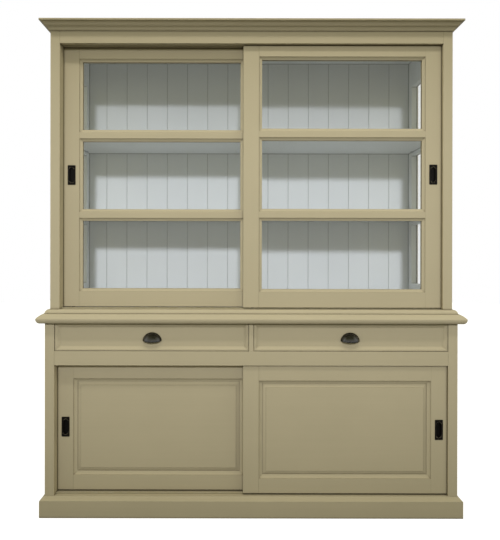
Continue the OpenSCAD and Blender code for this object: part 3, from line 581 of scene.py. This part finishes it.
def makeFlushPull():
    bm = bmesh.new()
    rings = [roundedRing(bm, *ring) for ring in flushPull["rings"]]
    for first, second in zip(rings, rings[1:]):
        bmesh.ops.bridge_loops(bm, edges=first + second)
    for ring in (rings[0], rings[-1]):
        bmesh.ops.contextual_create(bm, geom=ring)
    bmesh.ops.recalc_face_normals(bm, faces=bm.faces)
    worn = bm.faces.layers.float.new("edge")
    rimFront, rimBack = (depth * mm for depth in flushPull["rim"])
    for face in bm.faces:
        face[worn] = 1 if rimFront < face.calc_center_median().y < rimBack else 0
    return bm


for name, (left, face, wide) in doors.items():
    level, side = name.split("_")
    x = left + flushPull["fromEdge"] if side == "left" else left + wide - flushPull["fromEdge"]
    bm = makeFlushPull()
    bmesh.ops.translate(bm, verts=bm.verts, vec=(x, face, flushPull["up"][level]))
    finishPiece(bm, name + "_flushPull", name + "_door", [bronze], [name + "_door_pull"],
                smooth=48)
print("flush pulls made")

# Cup pulls: half of a dome with a rolled lip and a thin flange against the drawer, in mm
cupPull = {"wide": 86, "high": 40, "out": 26, "wall": 1.8, "flange": 3.2, "lip": 2.4, "rim": 0.45,
           "middle": 20,        # the flange grows no faster than this far from the middle
           "places": {"left": (-0.4435, -0.198, 0.7775), "right": (0.4435, -0.198, 0.7775)}}


def makeCupPull(place):
    c = cupPull
    bm = bmesh.new()
    bmesh.ops.create_uvsphere(bm, u_segments=64, v_segments=32, radius=1)
    bmesh.ops.rotate(bm, verts=bm.verts, cent=(0, 0, 0), matrix=Matrix.Rotation(math.pi / 2, 3, "X"))
    for way in ((0, 1, 0), (0, 0, -1)):
        bmesh.ops.bisect_plane(bm, geom=everything(bm), dist=0.0001, plane_co=(0, 0, 0), plane_no=way,
                               clear_outer=True)
    dome = ((c["wide"] / 2 - c["flange"]) * mm, c["out"] * mm, (c["high"] - c["flange"]) * mm)
    bmesh.ops.scale(bm, verts=bm.verts, vec=dome)
    lip = [e for e in bm.edges if e.is_boundary and all(abs(v.co.z) < near for v in e.verts)]
    for v in newVerts(bmesh.ops.extrude_edge_only(bm, edges=lip)["geom"]):
        v.co.z -= c["lip"] * mm * (1 - (v.co.x / (c["wide"] / 2 * mm)) ** 2)
    foot = [e for e in bm.edges if e.is_boundary and all(abs(v.co.y) < near for v in e.verts)]
    for v in newVerts(bmesh.ops.extrude_edge_only(bm, edges=foot)["geom"]):
        grown = 1 + c["flange"] * mm / max(math.hypot(v.co.x, v.co.z), c["middle"] * mm)
        v.co.x *= grown
        v.co.z *= grown
    bmesh.ops.remove_doubles(bm, verts=bm.verts, dist=near)
    bmesh.ops.recalc_face_normals(bm, faces=bm.faces)
    if sum(f.normal.y for f in bm.faces) > 0:        # the dome's outside has to face the front
        bmesh.ops.reverse_faces(bm, faces=bm.faces)
    bmesh.ops.solidify(bm, geom=bm.faces[:], thickness=c["wall"] * mm)
    bm.faces.layers.float.new("edge")
    roundOff(bm, [e for e in bm.edges if convexOver(e, edgeAngles["outer"])], c["rim"], steps=2)
    bmesh.ops.translate(bm, verts=bm.verts, vec=place)
    return bm


for side, place in cupPull["places"].items():
    finishPiece(makeCupPull(place), side + "_cupPull", side + "_drawer", [polishedBronze],
                [side + "_drawer_pull"], smooth=50)
print("cup pulls made")

# Wheels: grooved rollers on axle ends, in the middle of the doors' thickness
wheel = {"profile": [(0, -9.0), (2.1, -9.0), (2.5, -8.6), (2.5, -4.3), (5.2, -4.3), (5.2, -3.6),
                     (9.8, -3.6), (9.8, -4.0), (12.4, -4.0), (13.0, -3.4), (13.0, -2.7), (12.4, -2.1),
                     (11.2, -1.7), (11.0, -1.2), (11.0, 1.2), (11.2, 1.7), (12.4, 2.1), (13.0, 2.7),
                     (13.0, 3.4), (12.4, 4.0), (9.8, 4.0), (9.8, 3.6), (5.2, 3.6), (5.2, 4.3),
                     (2.5, 4.3), (2.5, 8.6), (2.1, 9.0), (0, 9.0)],
         "steps": 48, "inset": 0.042, "behindFace": 0.012, "up": {"upper": 0.9348, "base": 0.1068}}
for name, (left, face, wide) in doors.items():
    for tag, x in (("a", left + wheel["inset"]), ("b", left + wide - wheel["inset"])):
        place = (x, face + wheel["behindFace"], wheel["up"][name.split("_")[0]])
        node = f"{name}_door_wheel_{tag}"
        finishPiece(turned(wheel["profile"], place, (0, 1, 0), wheel["steps"]), node + "_turned", node,
                    [nylon], [node], smooth=40)
print("wheels turned")

# Shelf pins with a collar, and screws with a driving recess
pin = {"profile": [(0, -12), (1.9, -12), (2.5, -11.4), (2.5, -0.9), (4.2, -0.7), (4.2, 0.1), (2.5, 0.3),
                   (2.5, 11.4), (1.9, 12), (0, 12)],
       "steps": 24, "x": 0.861, "y": (-0.073, 0.168), "z": (1.3352, 1.7003)}
pins = [turned(pin["profile"], (side * pin["x"], y, z), (-side, 0, 0), pin["steps"])
        for side in (-1, 1) for y in pin["y"] for z in pin["z"]]
finishPiece(gathered(pins), "shelfPins", "carcass", [steel], ["shelf_pins"], smooth=40)

screw = {"profile": [(0, -50.5), (2.6, -50.5), (3.0, -50.1), (3.0, -3.2), (5.9, -0.6), (6.0, -0.2),
                     (5.6, 0), (2.6, 0), (2.2, -1.9), (0, -1.9)],
         "steps": 36, "x": 0.801, "y": (-0.073, 0.18), "z": 0.9188}
screws = [turned(screw["profile"], (side * screw["x"], y, screw["z"]), (0, 0, 1), screw["steps"])
          for side in (-1, 1) for y in screw["y"]]
finishPiece(gathered(screws), "joiningScrews", "carcass", [steel], ["joining_screws"], smooth=40)
print("pins and screws turned")

# Studio: pale floor, white surroundings, a wide spot in front and a soft lamp overhead
studio = {"floorRadius": 9, "floor": 0.3, "floorGlow": 0.98,
          "airFront": 0.16, "airBehind": 0.5, "airSide": 1.1,
          "frontTint": (1, 0.965, 0.42, 1), "sideTint": (1, 0.985, 0.8, 1),
          "front": {"place": (0.05, -5.9, 3.43), "aim": (0, -0.2, 1.12), "radius": 0.27, "power": 905,
                    "cone": 26, "widen": 3.6, "colour": (0.98, 1, 1.08)},
          "above": {"place": (0, -1.8, 4.6), "aim": (0, -0.3, 1.2), "size": (4.4, 0.3), "power": 66,
                    "colour": (1, 0.99, 0.95)}}


def addLamp(name, kind):
    s = studio[name]
    light = bpy.data.lights.new(name + "Lamp", kind)
    light.energy, light.color = s["power"], s["colour"]
    lamp = bpy.data.objects.new(name + "Lamp", light)
    lamp.visible_glossy = lamp.visible_transmission = False
    lamp.location = s["place"]
    lamp.rotation_euler = (Vector(s["aim"]) - Vector(s["place"])).to_track_quat("-Z", "Y").to_euler()
    scene.collection.objects.link(lamp)
    return light, lamp


light, lamp = addLamp("front", "SPOT")
light.shadow_soft_size = studio["front"]["radius"]
light.spot_size, light.spot_blend = math.radians(studio["front"]["cone"]), 1
lamp.scale.x = studio["front"]["widen"]
light, lamp = addLamp("above", "AREA")
light.shape = "RECTANGLE"
light.size, light.size_y = studio["above"]["size"]


# 1 for rays that should see plain white: the camera's and the glass's, and a share of those off polish
def whiteSeen(tree, polish):
    ray = put(tree, "ShaderNodeLightPath").outputs
    seen = maths(tree, "MAXIMUM", ray["Is Camera Ray"], times(tree, ray["Is Glossy Ray"], polish))
    seen = maths(tree, "MAXIMUM", seen, ray["Is Transmission Ray"])
    return times(tree, seen, maths(tree, "LESS_THAN", ray["Diffuse Depth"], 0.5))


# The air: white where it is seen, else plain light, weaker and yellower from the front
world = bpy.data.worlds.new("studioAir")
scene.world = world
world.use_nodes = True
tree = world.node_tree
tree.nodes.clear()
way = put(tree, "ShaderNodeSeparateXYZ")
tree.links.new(put(tree, "ShaderNodeTexCoord").outputs["Generated"], way.inputs[0])
behind = spread(tree, way.outputs["Y"], -0.5, 0.3, 0, 1)
aside = spread(tree, maths(tree, "ABSOLUTE", way.outputs["X"], 0), 0.45, 0.85, 0, 1)
plain = maths(tree, "MAXIMUM", spread(tree, behind, 0, 1, studio["airFront"], studio["airBehind"]),
              times(tree, aside, studio["airSide"]))
tint = blendColours(tree, "MIX", maths(tree, "MAXIMUM", behind, aside), studio["frontTint"],
                    studio["sideTint"])
seen = whiteSeen(tree, spread(tree, way.outputs["Z"], 0, 0.5, 1, 0.05))
air = put(tree, "ShaderNodeBackground")
join(tree, (blendColours(tree, "MIX", seen, tint, (1, 1, 1, 1)), air.inputs["Color"]),
     (spread(tree, seen, 0, 1, plain, 1.0), air.inputs["Strength"]),
     (air.outputs["Background"], put(tree, "ShaderNodeOutputWorld").inputs["Surface"]))

bm = bmesh.new()
bmesh.ops.create_circle(bm, cap_ends=True, radius=studio["floorRadius"], segments=96)
floorMesh = bpy.data.meshes.new("studioFloor")
bm.to_mesh(floorMesh)
bm.free()
floor = bpy.data.objects.new("studioFloor", floorMesh)
scene.collection.objects.link(floor)
floorFinish, tree = newMaterial("paleFloor")
matt = put(tree, "ShaderNodeBsdfPrincipled", {"Base Color": (studio["floor"],) * 3 + (1,), "Roughness": 0.8,
                                              "Specular IOR Level": 0.1, "Emission Color": (1, 1, 1, 1)})
glow = times(tree, whiteSeen(tree, 0), studio["floorGlow"])
join(tree, (glow, matt.inputs["Emission Strength"]),
     (matt.outputs["BSDF"], put(tree, "ShaderNodeOutputMaterial").inputs["Surface"]))
floorMesh.materials.append(floorFinish)
print("studio lit")
